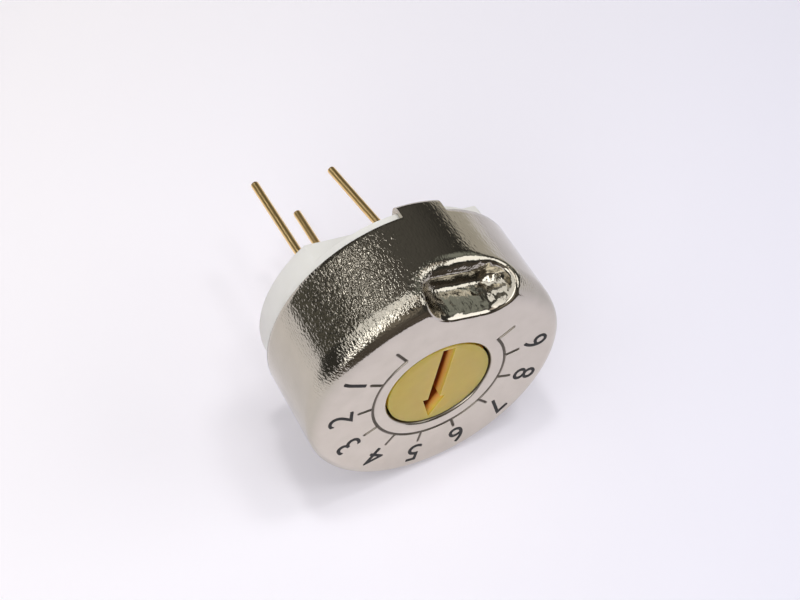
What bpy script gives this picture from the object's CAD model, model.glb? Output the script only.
# %% [markdown]
# # A round trimmer potentiometer
# This notebook dresses a small board-mounted trimmer: a pressed metal cover with a dial, an amber rotor with
# an arrow-shaped slot, a white moulded base and three gold pins. The frame holds the exact solids. Here they
# get their finishes, and the cover, whose soft pressed edges are hard to draw with plain solids, is modelled
# again as one smooth sheet.

import math

import bmesh
import bpy
import numpy as np
from mathutils import Matrix, Vector, noise as random_field


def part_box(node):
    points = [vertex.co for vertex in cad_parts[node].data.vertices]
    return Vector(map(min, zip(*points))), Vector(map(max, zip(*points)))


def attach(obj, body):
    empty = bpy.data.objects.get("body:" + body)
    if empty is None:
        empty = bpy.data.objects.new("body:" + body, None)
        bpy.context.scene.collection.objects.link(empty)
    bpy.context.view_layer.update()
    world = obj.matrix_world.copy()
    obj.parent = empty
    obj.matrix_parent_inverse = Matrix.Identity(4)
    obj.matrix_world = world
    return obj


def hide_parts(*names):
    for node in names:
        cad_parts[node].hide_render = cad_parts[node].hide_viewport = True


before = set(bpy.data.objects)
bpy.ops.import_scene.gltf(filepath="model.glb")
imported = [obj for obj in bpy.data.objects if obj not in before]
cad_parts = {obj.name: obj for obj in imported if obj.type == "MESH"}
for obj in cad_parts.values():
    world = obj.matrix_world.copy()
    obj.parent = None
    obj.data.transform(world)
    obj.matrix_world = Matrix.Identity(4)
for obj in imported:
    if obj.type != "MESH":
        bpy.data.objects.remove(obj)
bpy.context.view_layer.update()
MM = 0.001  # metres in a millimetre
print("nodes:", sorted(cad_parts))

# %% [markdown]
# ## Sizes
# Every size that the frame can give is read from it, so that the looks keep fitting the solids. The rest are
# the sizes of pressed and printed details, in millimetres, each with a name.

# %% Sizes from the frame
def box_mm(node):
    """Lowest and highest corner of a CAD node, in millimetres."""
    low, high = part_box(node)
    return low / MM, high / MM


cover_high = box_mm("cover")[1]
cover_r = cover_high.x
face_z = cover_high.z
rotor_top_z = box_mm("rotor")[1].z
print(f"cover radius {cover_r:.2f}, face at {face_z:.2f}, rotor's top at {rotor_top_z:.2f} mm")

# %% Sizes of the pressing
sheet_t = 0.3        # thickness of the sheet
rim_z = 1.6          # height of the cover's open rim
window_r = 2.65      # window that the rotor shows in
window_round = 0.18  # rounding of the window's edge
corner_near = 1.25   # how far the soft corner round the face reaches where it is softest
corner_far = 0.6     # and on the other side, where the press left it sharper
soft_side = -72      # direction of its softest place, in degrees
soft_from = -0.05    # cosine of the angle from there at which the softening starts
soft_full = 0.75     # and at which it is complete
corner_n = 2.1       # its fullness: 2 is a circle, and more is squarer
rim_round = 0.05     # rounding of the cut rim
cover_turn = -3.0    # turn of the dial and tabs against the pins, in degrees

# %% [markdown]
# ## A helper for node trees
# Materials, the world and the modifiers below are all node trees. One small function adds a node, sets its
# options and fills its sockets with a number, a colour or a link, which keeps each tree readable. A socket
# that is given a whole node is linked to that node's first output in use.

# %% Helpers for nodes, colours and objects
def add_node(tree, kind, inputs=None, **options):
    """Adds a node to a tree, sets its options, and fills or links its inputs."""
    node = tree.nodes.new(kind)
    for option, value in options.items():
        setattr(node, option, value)
    for name, value in (inputs or {}).items():
        if isinstance(value, bpy.types.Node):
            value = next(output for output in value.outputs if output.enabled)
        if isinstance(value, bpy.types.NodeSocket):
            tree.links.new(value, node.inputs[name])
        else:
            node.inputs[name].default_value = value
    return node


def linear(code):
    """An sRGB colour such as "#C8C2BA" as linear red, green, blue and alpha."""
    channels = [int(code[i:i + 2], 16) / 255 for i in (1, 3, 5)]
    straight = [c / 12.92 if c <= 0.04045 else ((c + 0.055) / 1.055) ** 2.4 for c in channels]
    return straight + [1.0]


def new_object(name, data):
    """An object in the scene, made of a mesh, a lamp or a camera."""
    made = bpy.data.objects.new(name, data)
    bpy.context.scene.collection.objects.link(made)
    return made


def to_object(name, vertices_mm, faces):
    """A mesh object from points in millimetres."""
    mesh = bpy.data.meshes.new(name)
    mesh.from_pydata((np.array(vertices_mm, dtype=float) * MM).tolist(), [], faces)
    mesh.validate()
    return new_object(name, mesh)

# %% [markdown]
# ## The cover
# The real cover is drawn from thin plated sheet in one stroke after another: a cup with a soft corner, a
# window, a dimple pushed into the edge that stops the rotor, and an engraved arc with ticks. Modelling it
# with booleans gives hard creases. Instead the sheet is a grid of columns round the axis and rows along the
# can's section, and the dimple is a field, a number at each point in space that says how far it is from the
# surface. Each grid point slides along a ray from a point above the dimple until the field says zero.

# %% The can's section
def smooth_step(x, start, end):
    """0 before the start, 1 after the end, and a smooth rise between them."""
    share = np.clip((x - start) / (end - start), 0, 1)
    return share * share * (3 - 2 * share)


def corner_reach(angle):
    """How far the soft corner reaches in a direction round the axis, in millimetres."""
    softness = smooth_step(np.cos(angle - math.radians(soft_side)), soft_from, soft_full)
    return corner_far + (corner_near - corner_far) * softness


def corner_points(radius, top, reach, count):
    """The soft corner from the face down to the wall, as points (r, z) on a superellipse."""
    turn = np.linspace(math.pi / 2, 0, count)
    r = radius - reach + reach * np.cos(turn) ** (2 / corner_n)
    z = top - reach + reach * np.clip(np.sin(turn), 0, 1) ** (2 / corner_n)
    return np.stack([r, z], axis=1)


def can_field(points):
    """Roughly how far outside the undimpled can a point is, in millimetres."""
    reach = corner_reach(np.arctan2(points[:, 1], points[:, 0]))
    across = np.hypot(points[:, 0], points[:, 1]) - (cover_r - reach)
    up = points[:, 2] - (face_z - reach)
    corner = (np.clip(across, 0, None) ** corner_n + np.clip(up, 0, None) ** corner_n) ** (1 / corner_n)
    return np.where((across > 0) & (up > 0), corner, np.maximum(across, up)) - reach


def face_drop(x, y):
    """How far the soft corner has dropped below the face at a point."""
    reach = corner_reach(math.atan2(y, x))
    share = min(max((math.hypot(x, y) - (cover_r - reach)) / reach, 0), 1)
    return float(reach * (1 - (1 - share ** corner_n) ** (1 / corner_n)))

# %% [markdown]
# ### The dimple's field
# Seen from above, the dimple is a D with round corners. Seen from the side, its mouth is a shallow U. The
# pocket is where both hold, joined by a smooth maximum, a formula that rounds the crease where two fields
# meet. The same formula rounds the lip where the pocket leaves the can.

# %% The dimple's sizes
dimple_angle = math.radians(-95.5)  # direction of its middle
dimple_half_w = 2.38  # half its width
dimple_inner = 4.5    # from the axis to its inner wall
dimple_corner = 1.6   # inner corners seen from above
dimple_depth = 1.75   # depth at the inner wall
dimple_draft = 0.17   # how much its inner wall leans out for each millimetre down
dimple_rise = 0.16    # how much the floor rises for each millimetre outwards
mouth_corner = 1.15   # corners of the mouth seen from the side
lip_face = 0.22       # softness of the lip where it crosses the face
lip_wall = 0.8        # and where it crosses the wall
lip_tight = 0.4       # and the wall again, at its tighter end
tight_from = 0.3      # how far towards that end the lip starts to tighten
tight_to = 1.5        # and how far on it is tightest
lip_depth = 1.1       # depth under the face at which the lip is the wall's
floor_round = 0.32    # softness of the pocket's inside corners

# %% The dimple's field
def smooth_max(a, b, softness):
    """The larger of two fields, with the crease between them rounded."""
    blend = np.clip(softness - np.abs(a - b), 0, None) / softness
    return np.maximum(a, b) + blend * blend * softness / 4


def along(points, angle):
    """How far points lie outwards along a direction round the axis, and sideways from it."""
    c, s = math.cos(angle), math.sin(angle)
    return points[:, 0] * c + points[:, 1] * s, points[:, 1] * c - points[:, 0] * s


def rounded_corner(a, b, radius):
    """Distance to two walls that meet in a round corner. Both are counted from the corner's centre."""
    return np.hypot(np.clip(a, 0, None), np.clip(b, 0, None)) + np.minimum(np.maximum(a, b), 0) - radius


def cover_field(points):
    """How far outside the cover's outer surface a point is."""
    out, signed_side = along(points, dimple_angle)
    side, z = np.abs(signed_side), points[:, 2]
    floor_z = face_z - dimple_depth + dimple_rise * (out - dimple_inner)
    inner = dimple_inner + dimple_draft * (face_z - z)
    plan = rounded_corner(inner + dimple_corner - out, side - dimple_half_w + dimple_corner,
                          dimple_corner)
    mouth = rounded_corner(side - dimple_half_w + mouth_corner, floor_z + mouth_corner - z, mouth_corner)
    pocket = smooth_max(plan, mouth, floor_round)
    lip_low = lip_wall + (lip_tight - lip_wall) * smooth_step(-signed_side, tight_from, tight_to)
    lip = lip_face + (lip_low - lip_face) * np.clip((face_z - z) / lip_depth, 0, 1)
    return smooth_max(can_field(points), -pocket, lip)

# %% [markdown]
# ### Crinkles
# A punch that pushes sheet inwards gathers more metal than the pocket needs, and the rest stands up in small
# crinkles, most of them at one end, and in a long fold across the floor. Both are real shape here, not only
# shading, so that their edges catch the light. Points that the press moved further crinkle more.

# %% Crinkles
crinkle_size = 0.3          # distance between crinkles
crinkle_height = 0.07
crinkle_drawn = (0.15, 0.65)  # how far a point is drawn where crinkles start, and where they are full
crinkle_end = (0.4, 1.5)    # where they grow towards one end of the dimple
crinkle_even = 0.35         # share of the crinkles that is there all over
fold_out = 5.65             # the fold's distance from the axis
fold_half_w = 0.13
fold_height = 0.07
fold_drawn = (0.1, 0.4)
fold_start = (-1.1, -0.5)   # where the fold begins, sideways


def crinkles(points, drawn):
    """Height of the crinkles that the punch left, from how far it drew each point."""
    out, side = along(points, dimple_angle)
    one_end = crinkle_even + (1 - crinkle_even) * smooth_step(-side, *crinkle_end)
    lumps = np.array([random_field.noise(Vector(p) / crinkle_size) for p in points])
    fold = np.exp(-((out - fold_out) / fold_half_w) ** 2)
    fold *= smooth_step(drawn, *fold_drawn) * smooth_step(side, *fold_start)
    return crinkle_height * smooth_step(drawn, *crinkle_drawn) * one_end * lumps - fold_height * fold

# %% [markdown]
# ### The press
# Every point is slid along a ray that starts outside the can's corner, over the dimple. The field is sampled
# along the ray, the first sample inside the metal is found, and halving the step before it again and again
# gives the place where the field is zero.

# %% The press
ray_height = 2.2        # how far outside the can's corner the rays start
ray_span = (-0.7, 4.2)  # how far a point may slide back and on along its ray
ray_samples = 99
ray_halvings = 18
in_place = 1e-4         # a point this close to the surface stays where it is


def press(points, depth):
    """Slides points along the dimple's rays until they lie the given depth under the cover's surface."""
    out = np.array([math.cos(dimple_angle), math.sin(dimple_angle), 0])
    start = out * (cover_r + ray_height) + np.array([0, 0, face_z + ray_height])
    moved = points.copy()
    off = np.abs(cover_field(points) + depth) > in_place
    rays = points[off] - start
    rays /= np.linalg.norm(rays, axis=1)[:, None]
    steps = np.linspace(*ray_span, ray_samples)
    fields = np.stack([cover_field(points[off] + rays * s) + depth for s in steps])
    inside = np.argmax(fields < 0, axis=0)
    low, high = steps[np.maximum(inside - 1, 0)], steps[inside]
    for _ in range(ray_halvings):
        middle = (low + high) / 2
        solid = cover_field(points[off] + rays * middle[:, None]) + depth < 0
        low, high = np.where(solid, low, middle), np.where(solid, middle, high)
    moved[off] += rays * ((low + high) / 2)[:, None]
    drawn = np.linalg.norm(moved[off] - points[off], axis=1)
    moved[off] += rays * crinkles(moved[off], drawn)[:, None]
    return moved

# %% [markdown]
# ### The dial
# The dial is an arc of 270 degrees with eleven ticks, cut as fine grooves. Cutting them with booleans would
# leave long thin faces. Here a groove is a depth that depends on the distance from its middle line, and the
# points of the face are lowered by it.

# %% The dial's grooves
travel = 270.0        # the dial's arc, in degrees
tick_count = 11
dial_r = 3.35         # radius of the arc
tick_l = 0.7          # length of a tick
end_tick_l = 0.92     # length of the two end ticks
groove_half_w = 0.1
groove_depth = 0.09
dial_angle = 90 + cover_turn
tick_angles = [dial_angle - travel / 2 + i * travel / (tick_count - 1) for i in range(tick_count)]


def groove(distance):
    """Depth of a groove at a distance from its middle line."""
    return groove_depth * smooth_step(-distance, -groove_half_w, 0)


def dial_depth(points):
    """Depth of the dial's grooves at points on the face."""
    r = np.hypot(points[:, 0], points[:, 1])
    angle = np.degrees(np.arctan2(points[:, 1], points[:, 0]))
    past_end = np.clip(np.abs((angle - dial_angle + 180) % 360 - 180) - travel / 2, 0, None)
    depth = groove(np.hypot(np.abs(r - dial_r), np.radians(past_end) * dial_r))
    for i, tick_angle in enumerate(tick_angles):
        length = end_tick_l if i in (0, tick_count - 1) else tick_l
        out, side = along(points, math.radians(tick_angle))
        beyond = np.maximum(np.maximum(dial_r - out, out - dial_r - length), 0)
        depth = np.maximum(depth, groove(np.hypot(beyond, side)))
    return depth


print("ticks at", [round(angle) for angle in tick_angles], "degrees")

# %% [markdown]
# ### The grid
# A groove needs real columns and rows on both its sides, and a bent sheet needs them where it bends. The
# columns therefore have three kinds of step: wide in general, fine round the dimple, and finest next to each
# tick. The rows run from the window over the face and down the wall to the rim, and back up inside.

# %% The grid's columns
tab_span = 20.0       # length of each crimp tab round the rim, in degrees
tab_angles = [-90 + cover_turn, 90 + cover_turn]
tab_edges = [a + side * tab_span / 2 for a in tab_angles for side in (-1, 1)]
wide_step = 1.2       # degrees between columns
dimple_step = 0.5
dimple_span = 34      # how far the finer columns reach on each side of the dimple
tick_step = 0.2
tick_span = 1.6
least_step = 0.13     # a column closer than this to the last one is left out
tab_clear = 0.1       # and none stands closer than this to a tab's edge

dimple_degrees = math.degrees(dimple_angle)
by_dimple = dimple_degrees + np.arange(-dimple_span, dimple_span + 0.01, dimple_step)
by_ticks = [a + np.arange(-tick_span, tick_span + 0.01, tick_step) for a in tick_angles]
wrapped = np.concatenate([np.arange(-180, 180, wide_step), by_dimple, *by_ticks, tab_edges])
columns = []
for angle in np.sort((wrapped + 180) % 360 - 180):
    if angle in tab_edges or not columns or angle - columns[-1] > least_step:
        columns.append(angle)
columns = np.array([c for c in columns
                    if c in tab_edges or min(abs(c - e) for e in tab_edges) > tab_clear])
print(len(columns), "columns")

# %% The grid's rows
wall_break = 4.2      # height on the wall above which the rows are closer
window_wall_rows = 4
dial_rows = 0.11      # how far the closest rows reach on each side of the dial's arc


def flat_rows(z, start, end, count):
    """Rows (r, z) across the face."""
    return np.stack([np.linspace(start, end, count), np.full(count, z)], axis=1)


def wall_rows(r, start, end, count):
    """Rows (r, z) along a wall."""
    return np.stack([np.full(count, r), np.linspace(start, end, count)], axis=1)


turn = np.linspace(math.pi, math.pi / 2, 6)
window_rows = np.stack([window_r + window_round + window_round * np.cos(turn),
                        face_z - window_round + window_round * np.sin(turn)], axis=1)


def outer_rows(reach):
    """Rows of the outside, from the window's lower edge over the face to the rim."""
    return np.concatenate([
        wall_rows(window_r, face_z - sheet_t, face_z - window_round, window_wall_rows)[:-1],
        window_rows,
        flat_rows(face_z, window_r + window_round, dial_r - dial_rows - 0.01, 6)[1:],
        flat_rows(face_z, dial_r - dial_rows, dial_r + dial_rows, 13),
        flat_rows(face_z, dial_r + dial_rows + 0.02, cover_r - reach, 38)[:-1],
        corner_points(cover_r, face_z, reach, 26),
        wall_rows(cover_r, face_z - reach, wall_break, 18)[1:],
        wall_rows(cover_r, wall_break, rim_z + rim_round, 13)[1:]])


def inner_rows(reach):
    """Rows of the inside, from the rim back to the window."""
    return np.concatenate([
        wall_rows(cover_r - sheet_t, rim_z + rim_round, wall_break, 6),
        wall_rows(cover_r - sheet_t, wall_break, face_z - reach, 9)[1:-1],
        corner_points(cover_r - sheet_t, face_z - sheet_t, reach - sheet_t, 12)[::-1],
        flat_rows(face_z - sheet_t, cover_r - reach, window_r + 0.1, 20)[1:]])


rim_rows = np.array([[cover_r - rim_round, rim_z], [cover_r - sheet_t + rim_round, rim_z]])
sections = [np.concatenate([outer_rows(reach), rim_rows, inner_rows(reach)])
            for reach in corner_reach(np.radians(columns))]
print(len(sections[0]), "rows")

# %% [markdown]
# ### Pressing the sheet
# Outer rows are pressed until they lie on the surface, and inner rows until they lie one sheet thickness
# under it, so the pocket keeps its wall. The grooves then lower the points of the face.

# %% The sheet's points
face_band = 0.02      # points this close to the face's height take the dial's grooves

directions = np.radians(columns)
across, up = np.moveaxis(np.stack(sections, axis=1), 2, 0)
grid = np.stack([across * np.cos(directions), across * np.sin(directions), up], axis=2)
row_count, column_count = grid.shape[:2]
first_face = window_wall_rows - 1 + len(window_rows) - 1
outer_count = len(outer_rows(corner_near))
inner_first = outer_count + len(rim_rows)

outer = grid[first_face:outer_count].reshape(-1, 3)
pressed = press(outer, 0)
print(f"the press moved points by up to {np.linalg.norm(pressed - outer, axis=1).max():.2f} mm")
pressed[:, 2] -= np.where(pressed[:, 2] > face_z - face_band, dial_depth(pressed), 0)
grid[first_face:outer_count] = pressed.reshape(-1, column_count, 3)
inner = grid[inner_first:].reshape(-1, 3)
grid[inner_first:] = press(inner, sheet_t).reshape(-1, column_count, 3)

# %% [markdown]
# ### The crimp tabs
# At two places the wall runs on past the rim as a tab, which is bent in over the base. A tab is the same
# sheet, so its faces grow from the rim's own points: the rim's faces are left out there, and a tube of four
# sides follows the bend.

# %% A tab's section
ledge_h = 1.05         # height of the base's ledge under a tab
tab_gap = 0.02
tab_bend_r = 0.18      # inside radius of the bend
tab_reach = 1.1


def tab_path():
    """Outer and inner points (r, z) of a tab's section, from the rim to its end."""
    bottom = ledge_h - tab_gap - sheet_t
    centre_r = cover_r - sheet_t - tab_bend_r
    centre_z = bottom + sheet_t + tab_bend_r
    pairs = [((cover_r, centre_z), (cover_r - sheet_t, centre_z))]
    for turn in np.radians(np.linspace(0, -90, 9))[1:]:
        pairs.append([(centre_r + r * math.cos(turn), centre_z + r * math.sin(turn))
                      for r in (tab_bend_r + sheet_t, tab_bend_r)])
    for share in (0.5, 1):
        r = centre_r + (cover_r - tab_reach - sheet_t - centre_r) * share
        pairs.append(((r, bottom), (r, bottom + sheet_t)))
    return pairs


tab_columns = [[int(np.argmin(np.abs(columns - a - side * tab_span / 2))) for side in (-1, 1)]
               for a in tab_angles]
print("tabs between columns", tab_columns)

# %% The whole sheet
def grid_faces():
    """The grid's faces, but for the rim's where a tab starts."""
    for i in range(row_count):
        at_rim = outer_count - 1 <= i < inner_first
        row, below = i * column_count, (i + 1) % row_count * column_count
        for j in range(column_count):
            if not (at_rim and any(first <= j < last for first, last in tab_columns)):
                right = (j + 1) % column_count
                yield row + j, below + j, below + right, row + right


def tab_faces(vertices, first, last):
    """A tab's faces. Its new points are added to the vertices."""
    faces = []
    outside, inside = ([row * column_count + j for j in range(first, last + 1)]
                       for row in (outer_count - 1, inner_first))
    low_rim, high_rim = ([(outer_count + k) * column_count + j for k in range(len(rim_rows))]
                         for j in (first, last))
    for pair in tab_path():
        starts = []
        for r, z in pair:
            starts.append(len(vertices))
            vertices.extend((r * math.cos(a), r * math.sin(a), z) for a in directions[first:last + 1])
        new_out, new_in = (list(range(start, start + last - first + 1)) for start in starts)
        for j in range(last - first):
            faces.append((outside[j], new_out[j], new_out[j + 1], outside[j + 1]))
            faces.append((inside[j + 1], new_in[j + 1], new_in[j], inside[j]))
        faces.append((new_out[0], outside[0], *low_rim, inside[0], new_in[0]))
        faces.append((new_in[-1], inside[-1], *high_rim[::-1], outside[-1], new_out[-1]))
        outside, inside, low_rim, high_rim = new_out, new_in, [], []
    faces += [(outside[j], inside[j], inside[j + 1], outside[j + 1]) for j in range(last - first)]
    return faces


vertices, faces = list(grid.reshape(-1, 3)), list(grid_faces())
for first, last in tab_columns:
    faces += tab_faces(vertices, first, last)
cover = to_object("cover_sheet", vertices, faces)
print(f"cover: {len(cover.data.polygons)} faces")

# %% [markdown]
# ### A closed sheet
# A sheet with no gap in it is a solid, so every edge of its mesh has exactly two faces. The next helper
# counts the edges that don't, turns all faces outwards, and shades them smooth but for the sharp edges.

# %% Check that the sheet is closed
def finish_mesh(piece, sharp_degrees):
    """Turns the faces outwards, shades them smooth up to an angle, and says whether the mesh is closed."""
    mesh = bmesh.new()
    mesh.from_mesh(piece.data)
    bmesh.ops.recalc_face_normals(mesh, faces=mesh.faces)
    if mesh.calc_volume(signed=True) < 0:
        bmesh.ops.reverse_faces(mesh, faces=mesh.faces)
    opened = sum(1 for e in mesh.edges if len(e.link_faces) != 2)
    print(f"{piece.name}: open edges {opened}, volume {mesh.calc_volume() / MM ** 3:.1f} mm3")
    mesh.to_mesh(piece.data)
    mesh.free()
    piece.data.shade_smooth()
    piece.data.set_sharp_from_angle(angle=math.radians(sharp_degrees))


finish_mesh(cover, sharp_degrees=50)

# %% [markdown]
# ## Softened copies
# The rotor and the base have the right shape in the frame, but their edges are mathematically sharp, and a
# real moulding never is. A copy of the solid's mesh, with its loose triangles merged and a Bevel modifier on
# every edge over a set angle, catches a thin line of light on each edge.

# %% A softened copy of a node
weld_mm = 0.0005      # points closer than this are one
flat_degrees = 0.5    # faces that meet at less than this are one
bevel_degrees = 35    # edges sharper than this are rounded


def apply_modifiers(piece):
    """Turns what a piece's modifiers make into its own plain mesh."""
    evaluated = piece.evaluated_get(bpy.context.evaluated_depsgraph_get())
    piece.data = bpy.data.meshes.new_from_object(evaluated)
    piece.modifiers.clear()


def softened(node, name, width_mm):
    """A copy of a CAD node with small round edges."""
    mesh = bmesh.new()
    mesh.from_mesh(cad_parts[node].data)
    bmesh.ops.remove_doubles(mesh, verts=mesh.verts, dist=weld_mm * MM)
    bmesh.ops.dissolve_limit(mesh, angle_limit=math.radians(flat_degrees), verts=mesh.verts,
                             edges=mesh.edges)
    piece = new_object(name, bpy.data.meshes.new(name))
    mesh.to_mesh(piece.data)
    mesh.free()
    bevel = piece.modifiers.new("edges", "BEVEL")
    bevel.width = width_mm * MM
    bevel.segments = 3
    bevel.limit_method = "ANGLE"
    bevel.angle_limit = math.radians(bevel_degrees)
    apply_modifiers(piece)
    finish_mesh(piece, sharp_degrees=40)
    return piece


rotor = softened("rotor", "rotor_amber", width_mm=0.035)
base = softened("base", "base_moulding", width_mm=0.08)

# %% [markdown]
# ## The dial's numbers
# The face carries printed figures, here plain numbers, one for each inner tick. They repeat round the dial,
# which is work for Geometry Nodes: String to Curves makes one instance for each character, the instances
# are turned round the axis by their index, filled, and given the thickness of an ink film.

# %% The numbers as a node tree
number_r = 4.95        # radius of the numbers' middle
number_h = 1.75        # size of the figures, whose caps are about 0.73 of it
number_bold = 0.035    # how much the strokes spread on each side
outline_step = 0.05    # length of an outline's segments, short enough to bend with the face
ink_t = 0.012          # thickness of the ink
ink_gap = 0.003        # and its distance from the metal
ink_weld = 0.001       # points of the film closer than this are one


def numbers_tree(ink):
    """A tree that prints the figures 1 to 9 in a ring."""
    tree = bpy.data.node_groups.new("dial_numbers", "GeometryNodeTree")
    for name in ("Radius", "Height", "First angle", "Step angle", "Face height", "Ink", "Bold",
                 "Outline step"):
        tree.interface.new_socket(name, in_out="INPUT", socket_type="NodeSocketFloat")
    tree.interface.new_socket("Geometry", in_out="OUTPUT", socket_type="NodeSocketGeometry")
    given = add_node(tree, "NodeGroupInput").outputs
    text = add_node(tree, "GeometryNodeStringToCurves", {
        "String": "123456789", "Size": given["Height"]}, pivot_mode="MIDPOINT")
    outwards = add_node(tree, "ShaderNodeCombineXYZ", {"Y": given["Radius"], "Z": given["Face height"]})
    corner = add_node(tree, "ShaderNodeVectorMath", {
        0: outwards, 1: text.outputs["Pivot Point"]}, operation="SUBTRACT")
    placed = add_node(tree, "GeometryNodeSetPosition", {"Geometry": text, "Position": corner})
    index = add_node(tree, "GeometryNodeInputIndex")
    angle = add_node(tree, "ShaderNodeMath", {
        0: index, 1: given["Step angle"], 2: given["First angle"]}, operation="MULTIPLY_ADD")
    turn = add_node(tree, "ShaderNodeCombineXYZ", {"Z": angle})
    ring = add_node(tree, "GeometryNodeRotateInstances", {
        "Instances": placed, "Rotation": turn, "Pivot Point": (0.0, 0.0, 0.0), "Local Space": False})
    outline = add_node(tree, "GeometryNodeResampleCurve", {
        "Curve": ring, "Length": given["Outline step"]}, mode="LENGTH")
    tangent = add_node(tree, "GeometryNodeInputTangent")
    sideways = add_node(tree, "ShaderNodeVectorMath", {
        0: tangent, 1: (0.0, 0.0, -1.0)}, operation="CROSS_PRODUCT")
    spread = add_node(tree, "ShaderNodeVectorMath", {0: sideways, "Scale": given["Bold"]}, operation="SCALE")
    bold = add_node(tree, "GeometryNodeSetPosition", {"Geometry": outline, "Offset": spread})
    filled = add_node(tree, "GeometryNodeFillCurve", {"Curve": bold})
    solid = add_node(tree, "GeometryNodeExtrudeMesh", {
        "Mesh": filled, "Offset Scale": given["Ink"], "Individual": False})
    closed = add_node(tree, "GeometryNodeFlipFaces", {"Mesh": filled})
    joined = add_node(tree, "GeometryNodeJoinGeometry", {"Geometry": closed})
    tree.links.new(solid.outputs["Mesh"], joined.inputs["Geometry"])
    real = add_node(tree, "GeometryNodeRealizeInstances", {"Geometry": joined})
    welded = add_node(tree, "GeometryNodeMergeByDistance", {"Geometry": real, "Distance": ink_weld * MM})
    inked = add_node(tree, "GeometryNodeSetMaterial", {"Geometry": welded, "Material": ink})
    add_node(tree, "NodeGroupOutput", {"Geometry": inked})
    return tree

# %% A tree's result as a plain mesh
def from_tree(name, tree, values):
    """Runs a Geometry Nodes tree on an empty mesh and keeps the result as a plain mesh."""
    piece = new_object(name, bpy.data.meshes.new(name))
    modifier = piece.modifiers.new("nodes", "NODES")
    modifier.node_group = tree
    for item in tree.interface.items_tree:
        if item.in_out == "INPUT":
            modifier[item.identifier] = values[item.name]
    apply_modifiers(piece)
    return piece

# %% [markdown]
# # Materials
# Each material below starts from what the real one is and how its surface was made. Patterns are sized in
# millimetres: a noise of scale 1 / size has lumps of about that size. They read Object coordinates, which are
# the part's own, so nothing slides when the rotor turns.

# %% A new material and what repeats in materials
def new_material(name):
    """An empty material, its tree and its object coordinates."""
    material = bpy.data.materials.new(name)
    material.use_nodes = True
    tree = material.node_tree
    tree.nodes.clear()
    return material, tree, add_node(tree, "ShaderNodeTexCoord").outputs["Object"]


def per_mm(size_mm):
    """The scale of a texture whose lumps are the given size."""
    return 1 / (size_mm * MM)


def two_tones(tree, place, lump_mm, tones, detail=3.0):
    """A colour that wanders between two tones from lump to lump."""
    lumps = add_node(tree, "ShaderNodeTexNoise", {
        "Vector": place, "Scale": per_mm(lump_mm), "Detail": detail})
    return add_node(tree, "ShaderNodeMix", {
        "Factor": lumps, "A": linear(tones[0]), "B": linear(tones[1])}, data_type="RGBA")


def lumpy(tree, place, lump_mm, strength, depth_mm):
    """A surface that rises and falls from lump to lump."""
    lumps = add_node(tree, "ShaderNodeTexNoise", {
        "Vector": place, "Scale": per_mm(lump_mm), "Detail": 2.0})
    return add_node(tree, "ShaderNodeBump", {
        "Height": lumps, "Strength": strength, "Distance": depth_mm * MM})


def radius_of(tree, place):
    """The distance from the rotor's axis."""
    flat = add_node(tree, "ShaderNodeVectorMath", {0: place, 1: (1.0, 1.0, 0.0)}, operation="MULTIPLY")
    return add_node(tree, "ShaderNodeVectorMath", {0: flat}, operation="LENGTH")

# %% [markdown]
# ## Plated sheet
# The cover is steel sheet with a bright, slightly warm tin-nickel plate. A metal's base colour is what it
# reflects, so the plate is a pale tone with a faint mottle, a little darker where the sheet was drawn down.
# Dirt stays in the fine grooves and on the window's cut edge, and makes both dark and dull.

# %% The plate's colour
face_tones = ("#D6CEC3", "#C5BDB1")
wall_tones = ("#C0BAAD", "#B2AC9F")
mottle_size = 0.9
wall_below = 0.3      # depth under the face from which on the tone is the wall's
face_above = 0.02     # and depth over which it is the face's
face_left = 0.1       # share of the wall's tone that the face has too


def plate_tone(tree, place, height):
    """Pale on the face, and darker where the sheet was drawn down."""
    drawn = add_node(tree, "ShaderNodeMapRange", {
        "Value": height, "From Min": (face_z - wall_below) * MM, "From Max": (face_z - face_above) * MM,
        "To Min": 1.0, "To Max": face_left})
    face, wall = (two_tones(tree, place, mottle_size, tones, 4.0) for tones in (face_tones, wall_tones))
    return add_node(tree, "ShaderNodeMix", {"Factor": drawn, "A": face, "B": wall}, data_type="RGBA")

# %% Dirt in the grooves and on the cut edge
dirt_colour = "#4E473E"
groove_dirt = 0.8     # share of dirt in a groove
groove_dirty = (0.04, 0.003)     # depths under the face at which it is full, and none
cut_dirt = 0.9        # share of dirt on the cut edge
cut_dirty = (0.01, 0.06)         # distances from the window's edge at which it is full, and none
dial_margin = 0.08    # how far dirt reaches past the end ticks
dial_inner = window_r + window_round      # the ring of the face that holds the grooves
dial_outer = dial_r + end_tick_l + dial_margin


def dirt(tree, place, height):
    """How dirty the plate is, from 0 to 1."""
    radius = radius_of(tree, place)
    low = add_node(tree, "ShaderNodeMapRange", {
        "Value": height, "From Min": (face_z - groove_dirty[0]) * MM,
        "From Max": (face_z - groove_dirty[1]) * MM, "To Min": groove_dirt, "To Max": 0.0})
    on_dial = add_node(tree, "ShaderNodeMath", {
        0: radius, 1: (dial_inner + dial_outer) / 2 * MM, 2: (dial_outer - dial_inner) / 2 * MM},
        operation="COMPARE")
    grooves = add_node(tree, "ShaderNodeMath", {0: low, 1: on_dial}, operation="MULTIPLY")
    cut = add_node(tree, "ShaderNodeMapRange", {
        "Value": radius, "From Min": (window_r + cut_dirty[0]) * MM,
        "From Max": (window_r + cut_dirty[1]) * MM, "To Min": cut_dirt, "To Max": 0.0})
    return add_node(tree, "ShaderNodeMath", {0: grooves, 1: cut}, operation="MAXIMUM")

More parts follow.
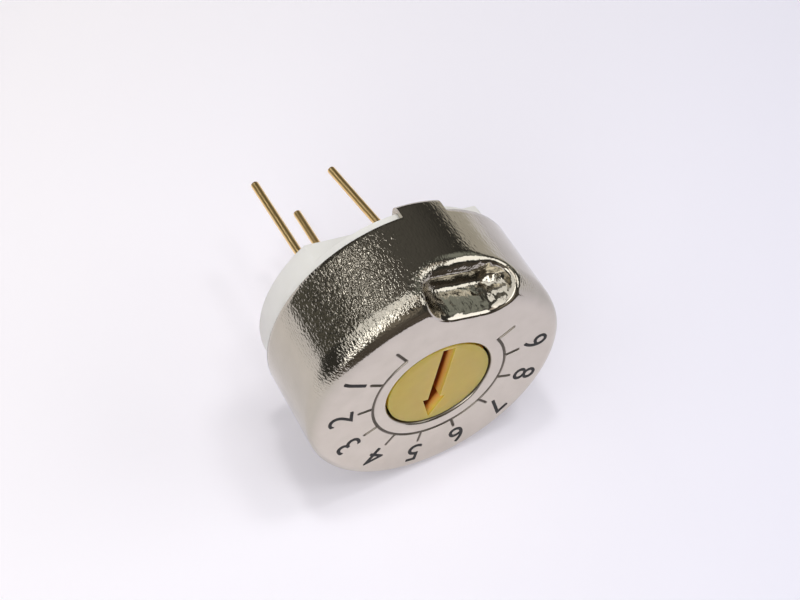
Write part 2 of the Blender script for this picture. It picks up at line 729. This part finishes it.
# %% [markdown]
# ### The drawn grain
# Drawing a sheet over a punch stretches its grain, which leaves a fine orange peel: the reflection is clear,
# but breaks into grains where light meets dark. The wall has the most of it between the dimple and pin 1, and
# the flat face hardly any. A real grain is taken as about a twentieth of a millimetre. It is drawn here twice
# as coarse, so that it shows, and stretched along the wall, the way the metal moved.

# %% The grain
grain_size = 0.095
grain_stretch = 0.5   # how much slower the grain changes along the wall
grain_depth = 0.042
grain_full = 0.45     # depth under the face from which on the grain is full
grain_least = 0.2     # and depth over which it is least
grain_on_face = 0.05  # share of the grain that the face keeps
grain_steps = [       # where the grain changes along X, in millimetres, and its share before and after
    (0.2, 2.2, 0.25, 1.0), (4.9, 5.8, 1.0, 0.22)]


def drawn_grain(tree, place, ways):
    """The orange peel as a bump."""
    amount = add_node(tree, "ShaderNodeMapRange", {
        "Value": ways["Z"], "From Min": (face_z - grain_full) * MM,
        "From Max": (face_z - grain_least) * MM, "To Min": 1.0, "To Max": grain_on_face})
    for start, end, before, after in grain_steps:
        share = add_node(tree, "ShaderNodeMapRange", {
            "Value": ways["X"], "From Min": start * MM, "From Max": end * MM, "To Min": before,
            "To Max": after}, interpolation_type="SMOOTHSTEP")
        amount = add_node(tree, "ShaderNodeMath", {0: amount, 1: share}, operation="MULTIPLY")
    stretched = add_node(tree, "ShaderNodeMapping", {"Vector": place, "Scale": (1.0, 1.0, grain_stretch)})
    grain = add_node(tree, "ShaderNodeTexNoise", {
        "Vector": stretched, "Scale": per_mm(grain_size), "Detail": 1.0})
    lifted = add_node(tree, "ShaderNodeMath", {0: grain, 1: amount}, operation="MULTIPLY")
    return add_node(tree, "ShaderNodeBump", {"Height": lifted, "Strength": 1.0, "Distance": grain_depth * MM})

# %% The plate
polish_size = 0.35
polish = (0.07, 0.12)  # roughness of the plate, from patch to patch
noise_range = (0.3, 0.7)  # the values that a noise mostly keeps between
dirt_rough = 0.5


def plated_sheet():
    """Bright tin-nickel plate over drawn steel sheet."""
    material, tree, place = new_material("tin_nickel_plate")
    ways = add_node(tree, "ShaderNodeSeparateXYZ", {"Vector": place}).outputs
    dirty = dirt(tree, place, ways["Z"])
    tone = add_node(tree, "ShaderNodeMix", {
        "Factor": dirty, "A": plate_tone(tree, place, ways["Z"]), "B": linear(dirt_colour)},
        data_type="RGBA")
    patches = add_node(tree, "ShaderNodeTexNoise", {
        "Vector": place, "Scale": per_mm(polish_size), "Detail": 3.0})
    clean = add_node(tree, "ShaderNodeMapRange", {
        "Value": patches, "From Min": noise_range[0], "From Max": noise_range[1], "To Min": polish[0],
        "To Max": polish[1]})
    rough = add_node(tree, "ShaderNodeMix", {"Factor": dirty, "A": clean, "B": dirt_rough})
    shader = add_node(tree, "ShaderNodeBsdfPrincipled", {
        "Base Color": tone, "Metallic": 1.0, "Roughness": rough, "Normal": drawn_grain(tree, place, ways)})
    add_node(tree, "ShaderNodeOutputMaterial", {"Surface": shader})
    return material

# %% [markdown]
# ## Mouldings and drawn wire
# The mouldings are opaque plastics with a satin skin, and a faint mottle where the resin flowed. A little
# subsurface light softens them. The pins are gold-plated wire: a metal whose fine lines run along its length,
# because a die drew it. The ink on the face is a moulding's finish without the light inside.

# %% Finishes of mouldings and metals
skin_lumps = 0.06     # size of the lumps in a moulding's skin
skin_relief = (0.3, 0.004)    # strength and depth of these lumps
line_relief = (0.4, 0.003)    # and of the lines that a die leaves
line_stretch = 0.08   # how much slower the lines change along the wire


def moulding(name, tones, lump_mm, rough, translucency=0.0, glow_mm=(0.1, 0.1, 0.1)):
    """A moulded plastic with a faint mottle and a little light inside."""
    material, tree, place = new_material(name)
    shader = add_node(tree, "ShaderNodeBsdfPrincipled", {
        "Base Color": two_tones(tree, place, lump_mm, tones), "Roughness": rough, "IOR": 1.5,
        "Normal": lumpy(tree, place, skin_lumps, *skin_relief), "Subsurface Weight": translucency,
        "Subsurface Scale": 1.0, "Subsurface Radius": Vector(glow_mm) * MM})
    add_node(tree, "ShaderNodeOutputMaterial", {"Surface": shader})
    return material


def metal(name, tones, line_mm, rough):
    """A metal drawn, fired or soldered, with its lines along Z."""
    material, tree, place = new_material(name)
    wire = add_node(tree, "ShaderNodeMapping", {"Vector": place, "Scale": (1.0, 1.0, line_stretch)})
    shader = add_node(tree, "ShaderNodeBsdfPrincipled", {
        "Base Color": two_tones(tree, wire, line_mm, tones), "Metallic": 1.0, "Roughness": rough,
        "Normal": lumpy(tree, wire, line_mm, *line_relief)})
    add_node(tree, "ShaderNodeOutputMaterial", {"Surface": shader})
    return material


plate = plated_sheet()
amber = moulding("amber_plastic", ("#D2B84C", "#C5A93F"), 0.8, 0.35, 0.8, (1.0, 0.6, 0.2))
white = moulding("white_moulding", ("#F5F3EE", "#ECEAE4"), 1.2, 0.45, 0.1, (0.4, 0.4, 0.35))
ink = moulding("black_ink", ("#0B0A09", "#171513"), 0.2, 0.6)
gold = metal("gold_plate", ("#FCE2AC", "#EAC074"), 0.08, 0.3)
print("finishes:", [material.name for material in (plate, amber, white, ink, gold)])

# %% [markdown]
# ## Depth in the amber
# Amber plastic lets some light through. In its slot the light that arrives has crossed more and more plastic,
# so the walls turn from pale orange near the top to a dark red near the floor. Following every ray through
# the plastic would be slow and noisy. A ramp of colours over the height says the same thing.

# %% Colours down the slot
slot_reach = 2.35     # the slot's half length, beyond which the rotor keeps its plain colour
slot_top = (-0.08, -0.02)  # heights at which the slot's colours are full, and none
slot_colours = [      # height from the rotor's top, and colour
    (-0.9, "#4A1804"), (-0.5, "#8A380A"), (-0.44, "#D88C3C"), (-0.34, "#FFC46C"), (-0.2, "#FAD078"),
    (-0.03, "#EECB62")]
lowest, highest = slot_colours[0][0], slot_colours[-1][0]

tree = amber.node_tree
shader = next(node for node in tree.nodes if node.type == "BSDF_PRINCIPLED")
place = add_node(tree, "ShaderNodeTexCoord").outputs["Object"]
height = add_node(tree, "ShaderNodeSeparateXYZ", {"Vector": place}).outputs["Z"]
risen = add_node(tree, "ShaderNodeMapRange", {
    "Value": height, "From Min": (rotor_top_z + lowest) * MM, "From Max": (rotor_top_z + highest) * MM})
depth = add_node(tree, "ShaderNodeValToRGB", {"Fac": risen})
stops = depth.color_ramp.elements
while len(stops) < len(slot_colours):
    stops.new(0.5)
for stop, (z, code) in zip(stops, slot_colours):
    stop.position = (z - lowest) / (highest - lowest)
    stop.color = linear(code)
print("stops at", [round(stop.position, 2) for stop in stops])

# %% The slot's colours in the amber
below = add_node(tree, "ShaderNodeMapRange", {
    "Value": height, "From Min": (rotor_top_z + slot_top[0]) * MM,
    "From Max": (rotor_top_z + slot_top[1]) * MM, "To Min": 1.0, "To Max": 0.0})
near = add_node(tree, "ShaderNodeMath", {
    0: radius_of(tree, place), 1: slot_reach * MM}, operation="LESS_THAN")
in_slot = add_node(tree, "ShaderNodeMath", {0: below, 1: near}, operation="MULTIPLY")
plain = shader.inputs["Base Color"].links[0].from_node
tone = add_node(tree, "ShaderNodeMix", {"Factor": in_slot, "A": plain, "B": depth}, data_type="RGBA")
tree.links.new(tone.outputs["Result"], shader.inputs["Base Color"])
print("the slot's colours reach", slot_reach, "mm from the axis")

# %% [markdown]
# ## Inside the part
# Under the cover are a fired alumina disc with its printed films, solder and sealing resin round the pins, a
# sprung wiper and two rubber seals. They use the same two kinds of finish, matt for what is fired or moulded,
# and metal for what is printed with silver, soldered or rolled.

# %% Finishes inside the part
alumina = moulding("alumina", ("#F1EFE8", "#E6E3DA"), 0.3, 0.6, 0.1, (0.3, 0.3, 0.3))
cermet = moulding("cermet_film", ("#1D1D20", "#2B2A2C"), 0.1, 0.5)
resin = moulding("sealing_resin", ("#C8B78F", "#B9A67B"), 0.5, 0.25, 0.2, (0.4, 0.3, 0.15))
rubber = moulding("seal_rubber", ("#1B1B1B", "#232323"), 0.2, 0.6)
silver_film = metal("silver_film", ("#C9C7C1", "#B3B0A9"), 0.1, 0.42)
solder = metal("solder", ("#C4C4C6", "#A9A9AC"), 0.25, 0.3)
spring = metal("spring_alloy", ("#C98F68", "#B67C56"), 0.1, 0.3)
node_finish = {
    "substrate": alumina, "resistive_track": cermet, "end_pad_1": silver_film, "end_pad_3": silver_film,
    "collector": silver_film, "wiper": spring, "o_ring": rubber, "rim_seal": rubber}
for number in (1, 2, 3):
    node_finish.update({f"pin_{number}": gold, f"pin_joint_{number}": solder, f"pin_seal_{number}": resin})
finished = [(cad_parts[node], material) for node, material in node_finish.items()]
for piece, material in finished + [(cover, plate), (rotor, amber), (base, white)]:
    piece.data.materials.clear()
    piece.data.materials.append(material)
print(len(node_finish), "nodes and 3 pieces have their finish")

# %% [markdown]
# ## Printing the numbers
# The tree runs once, with its sizes given by name. Its figures are flat, so their points are then lowered by
# as much as the soft corner drops below the face at each place, and the ink lies on the metal.

# %% The numbers, made
numbers = from_tree("dial_numbers", numbers_tree(ink), {
    "Radius": number_r * MM, "Height": number_h * MM, "Bold": number_bold * MM, "Ink": ink_t * MM,
    "First angle": math.radians(tick_angles[1] - 90), "Step angle": math.radians(travel / (tick_count - 1)),
    "Face height": (face_z + ink_gap) * MM, "Outline step": outline_step * MM})
for vertex in numbers.data.vertices:
    vertex.co.z -= face_drop(vertex.co.x / MM, vertex.co.y / MM) * MM
print("numbers:", len(numbers.data.polygons), "faces")

# %% [markdown]
# ## What rides on what
# The frame has two bodies: the root, which is everything that stands still, and the adjuster, which turns.
# Each new piece says which one it rides on, and which solid it stands for.

# %% Ride, replace and name slots
for piece, body, node, slot in ((cover, "root", "cover", "tinned_cover"),
                                (base, "root", "base", "white_moulding"),
                                (rotor, "adjuster", "rotor", "amber_plastic")):
    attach(piece, body)
    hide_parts(node)
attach(numbers, "root")
print("pieces:", [piece.name for piece in (cover, base, rotor, numbers)])

# %% [markdown]
# # Stage, light and camera
# The part lies on its side on a pale table, so the table isn't level in the part's own frame. Directions from
# here on are counted from the table: how high over it, and how far round from the way the face looks.

# %% Directions from the table
table_turn = math.radians(-77.75)
table_up = Vector((math.cos(table_turn), math.sin(table_turn), 0))
table_side = table_up.cross(Vector((0, 0, 1)))


def table_way(elevation, azimuth):
    """A direction given by its height over the table and its turn from +Z, in degrees."""
    e, a = math.radians(elevation), math.radians(azimuth)
    level = Vector((0, 0, 1)) * math.cos(a) + table_side * math.sin(a)
    return table_up * math.sin(e) + level * math.cos(e)


print("up from the table:", [round(x, 3) for x in table_up])

# %% [markdown]
# ## The table
# White paper under a small part never looks even: it fades a little from one side to the other, and far from
# the part it passes into the backdrop, as a paper sweep does. It shows a little more light in the picture and
# in reflections than it gives, so it stays pale and keeps the part's shadow. From below, the view passes
# through it.

# %% The table's paper
table_tones = ("#F4F0F3", "#E0DEE9")
tone_way = 51         # the way the table fades, turned from +Z
tone_reach = 25       # and how far from the axis the fading starts and ends
table_lift = 0.2      # what it adds in the picture and in reflections, but never as light
sweep = (42, 90)      # distances between which it passes into the backdrop
backdrop_colour = "#F4F2F7"


def seen_rays(tree):
    """1 for rays from the camera and for reflected and refracted ones, and 0 for rays of light."""
    rays = add_node(tree, "ShaderNodeLightPath").outputs
    shown = add_node(tree, "ShaderNodeMath", {
        0: rays["Is Camera Ray"], 1: rays["Is Glossy Ray"]}, operation="MAXIMUM")
    return add_node(tree, "ShaderNodeMath", {0: shown, 1: rays["Is Transmission Ray"]}, operation="MAXIMUM")


def table_paper():
    """Pale paper, seen from above only."""
    material, tree, place = new_material("table_paper")
    seen = seen_rays(tree)
    distance = add_node(tree, "ShaderNodeVectorMath", {
        0: place, 1: table_way(0, tone_way)}, operation="DOT_PRODUCT")
    share = add_node(tree, "ShaderNodeMapRange", {
        "Value": distance, "From Min": -tone_reach * MM, "From Max": tone_reach * MM})
    tone = add_node(tree, "ShaderNodeMix", {
        "Factor": share, "A": linear(table_tones[0]), "B": linear(table_tones[1])}, data_type="RGBA")
    paper = add_node(tree, "ShaderNodeBsdfPrincipled", {
        "Base Color": tone, "Roughness": 0.9, "Specular IOR Level": 0.0})
    lift = add_node(tree, "ShaderNodeMath", {0: seen, 1: table_lift}, operation="MULTIPLY")
    glow = add_node(tree, "ShaderNodeEmission", {"Color": tone, "Strength": lift})
    near = add_node(tree, "ShaderNodeAddShader", {0: paper, 1: glow})
    far = add_node(tree, "ShaderNodeEmission", {"Color": linear(backdrop_colour), "Strength": 1.0})
    away = add_node(tree, "ShaderNodeVectorMath", {0: place}, operation="LENGTH")
    swept = add_node(tree, "ShaderNodeMapRange", {
        "Value": away, "From Min": sweep[0] * MM, "From Max": sweep[1] * MM})
    shown = add_node(tree, "ShaderNodeMath", {0: swept, 1: seen}, operation="MULTIPLY")
    above = add_node(tree, "ShaderNodeMixShader", {0: shown, 1: near, 2: far})
    behind = add_node(tree, "ShaderNodeNewGeometry").outputs["Backfacing"]
    clear = add_node(tree, "ShaderNodeBsdfTransparent")
    both = add_node(tree, "ShaderNodeMixShader", {0: behind, 1: above, 2: clear})
    add_node(tree, "ShaderNodeOutputMaterial", {"Surface": both})
    return material

# %% The table
table_size = 400      # half its side
table_gap = 0.01      # how far the part lies off it


def square(name, corners, material):
    """A stage piece of four corners."""
    piece = to_object(name, corners, [(0, 1, 2, 3)])
    piece.data.materials.append(material)
    return piece


centre = -table_up * (cover_r + table_gap)
table = square("table", [centre + (Vector((0, 0, 1)) * a + table_side * b) * table_size
                         for a, b in ((-1, -1), (1, -1), (1, 1), (-1, 1))], table_paper())
if table.data.polygons[0].normal.dot(table_up) < 0:
    table.data.flip_normals()
print("the table faces", [round(x, 3) for x in table.data.polygons[0].normal])

# %% [markdown]
# ## The camera
# The camera looks down at the table from the side, past the edge of the face, through a long lens at nearly
# 70 mm from the part. It is rolled, because the part's own up isn't the table's.

# %% The camera
camera_azimuth = math.radians(31.52)
camera_elevation = math.radians(32.72)
camera_roll = math.radians(147.08)
camera_distance = 69.75 * MM
camera_aim = Vector((-0.359, -0.525, 1.597)) * MM
camera_lens = 67.5    # millimetres, as for a sensor 36 mm wide

direction = Vector((math.sin(camera_azimuth) * math.cos(camera_elevation),
                    -math.cos(camera_azimuth) * math.cos(camera_elevation),
                    math.sin(camera_elevation)))
level_right = (-direction).cross(Vector((0, 0, 1))).normalized()
level_up = level_right.cross(-direction)
right = level_right * math.cos(camera_roll) + level_up * math.sin(camera_roll)
turned = Matrix((right, right.cross(-direction), direction)).transposed().to_4x4()
camera = new_object("camera", bpy.data.cameras.new("camera"))
camera.data.lens = camera_lens
camera.data.sensor_width = 36
camera.data.clip_start = 0.001
camera.data.clip_end = 10
camera.matrix_world = Matrix.Translation(camera_aim + direction * camera_distance) @ turned
bpy.context.scene.camera = camera
print("camera at", [round(x / MM, 1) for x in camera.matrix_world.translation], "mm")

# %% [markdown]
# ## Light
# Bright metal shows its surroundings, so the surroundings are built. Soft oval lamps stand round the part, as
# the windows and the ceiling of a room do, and the part reflects them. Three small lamps high over the table
# give it its shadows, and reflections don't see those. A lamp's brightness is given as what a mirror would
# show of it, where 1 is white, and its power follows from that and from its size.

# %% The lamps
lamp_distance = 150


def lamp(name, way, half_width, half_height, brightness, reflected=True):
    """A soft oval lamp in a direction, aimed at the part, that fills the given half angles."""
    light = bpy.data.lights.new(name, "AREA")
    light.shape = "ELLIPSE"
    light.size = 2 * lamp_distance * MM * math.tan(math.radians(half_width))
    light.size_y = 2 * lamp_distance * MM * math.tan(math.radians(half_height))
    light.energy = brightness * math.pi * (math.pi / 4) * light.size * light.size_y
    holder = new_object(name, light)
    across = table_up.cross(way).normalized()
    turn = Matrix((across, way.cross(across), way)).transposed().to_4x4()
    holder.matrix_world = Matrix.Translation(way * lamp_distance * MM) @ turn
    holder.visible_camera = False
    holder.visible_glossy = reflected
    print(f"{name}: {light.energy:.3f} W")


lamp("ceiling", table_way(84, -10), 20, 20, 1.3)
lamp("front_window", table_way(34, -37), 14, 26, 2.6)
lamp("right_window", table_way(34, 62), 22, 15, 1.8)
lamp("left_window", table_way(50, -88), 24, 18, 1.15)
lamp("back_glint", table_way(48, -150), 4, 4, 3.5)
lamp("key", table_way(70, 74), 5, 5, 17, reflected=False)
lamp("front_key", table_way(67, 17), 5, 5, 9, reflected=False)
lamp("top", table_way(87, 178), 3.5, 3.5, 42, reflected=False)

# %% [markdown]
# ## The dark room
# Metal looks like metal only when part of what it reflects is dark. A sphere of dark cloth surrounds the
# stage, with soft paler spots where a room would have a wall or a shelf, and a dark board stands on the table
# in front of the face. Only reflections see them, so they take no light away from the part.

# %% The room's sizes and colours
room_r = 300          # radius of the sphere
room_cloth = ("#2C2B29", "#4A4946")
room_fold = 90        # size of the cloth's folds
room_spots = [        # direction, inner and outer angle of a spot, and its colour
    (table_way(25, -8), 10, 28, "#8F877D"),
    (table_way(50, -148), 3, 26, "#A6A29C"),
    (table_way(45, 165), 10, 45, "#5E5C58"),
    (table_way(0, 122), 17, 20, "#CCC8C0"),
    (table_way(42, 106), 5, 18, "#9FA39C"),
    (table_way(66, 45), 6, 22, "#DCD2C8"),
    (table_way(12, -130), 4, 19, "#66645C"),
]
board_turn = 22       # the board's direction, turned from +Z about the table's normal
board_gap = 30        # how far it stands from the rotor's axis
board_left = 150      # how far it runs to each side
board_right = 14
board_h = 14
board_cloth = ("#3A3632", "#6E665E")
board_fold = 6

# %% The room's materials
def chord(degrees):
    """The straight distance between two points of the sphere that lie an angle apart."""
    return 2 * room_r * MM * math.sin(math.radians(degrees / 2))


def glowing_cloth(name, fold_mm, tones, spots=()):
    """Cloth that shows its colour by itself, whatever the light, with soft spots over it."""
    material, tree, place = new_material(name)
    colour = two_tones(tree, place, fold_mm, tones, 1.0)
    for way, inner, outer, code in spots:
        away = add_node(tree, "ShaderNodeVectorMath", {0: place, 1: way * room_r * MM}, operation="DISTANCE")
        share = add_node(tree, "ShaderNodeMapRange", {
            "Value": away, "From Min": chord(inner), "From Max": chord(outer), "To Min": 1.0,
            "To Max": 0.0}, interpolation_type="SMOOTHSTEP")
        colour = add_node(tree, "ShaderNodeMix", {
            "Factor": share, "A": colour, "B": linear(code)}, data_type="RGBA")
    light = add_node(tree, "ShaderNodeEmission", {"Color": colour, "Strength": 1.0})
    add_node(tree, "ShaderNodeOutputMaterial", {"Surface": light})
    return material

# %% The dark room and the board
def only_reflected(piece):
    """Keeps a stage piece out of everything but reflections."""
    for rays in ("camera", "diffuse", "transmission", "shadow", "volume_scatter"):
        setattr(piece, f"visible_{rays}", False)
    print(f"{piece.name}: {len(piece.data.polygons)} faces, seen in reflections only")


room = new_object("dark_room", bpy.data.meshes.new("dark_room"))
sphere = bmesh.new()
upright = Matrix((Vector((0, 0, 1)), table_side, table_up)).transposed().to_4x4()
bmesh.ops.create_uvsphere(sphere, u_segments=96, v_segments=48, radius=room_r * MM, matrix=upright)
sphere.to_mesh(room.data)
sphere.free()
room.data.materials.append(glowing_cloth("dark_cloth", room_fold, room_cloth, room_spots))
only_reflected(room)

away = table_way(0, board_turn)
foot = away * board_gap - table_up * cover_r
left = away.cross(table_up)
corners = ((-board_right, 0), (board_left, 0), (board_left, board_h), (-board_right, board_h))
board = square("dark_board", [foot + left * a + table_up * b for a, b in corners],
               glowing_cloth("board_cloth", board_fold, board_cloth))
only_reflected(board)

# %% [markdown]
# ## The world
# The backdrop shows its pale colour to the camera, in reflections and through clear things. As light it gives
# the part only a faint even fill, which keeps the shadows from going black.

# %% The world
fill_strength = 0.11
world = bpy.data.worlds.new("studio")
world.use_nodes = True
bpy.context.scene.world = world
tree = world.node_tree
tree.nodes.clear()
fill = add_node(tree, "ShaderNodeBackground", {"Color": linear("#F2F0F4"), "Strength": fill_strength})
backdrop = add_node(tree, "ShaderNodeBackground", {"Color": linear(backdrop_colour), "Strength": 1.0})
both = add_node(tree, "ShaderNodeMixShader", {0: seen_rays(tree), 1: fill, 2: backdrop})
add_node(tree, "ShaderNodeOutputWorld", {"Surface": both})
bpy.context.scene.view_settings.view_transform = "Standard"
print("fill light", fill_strength)
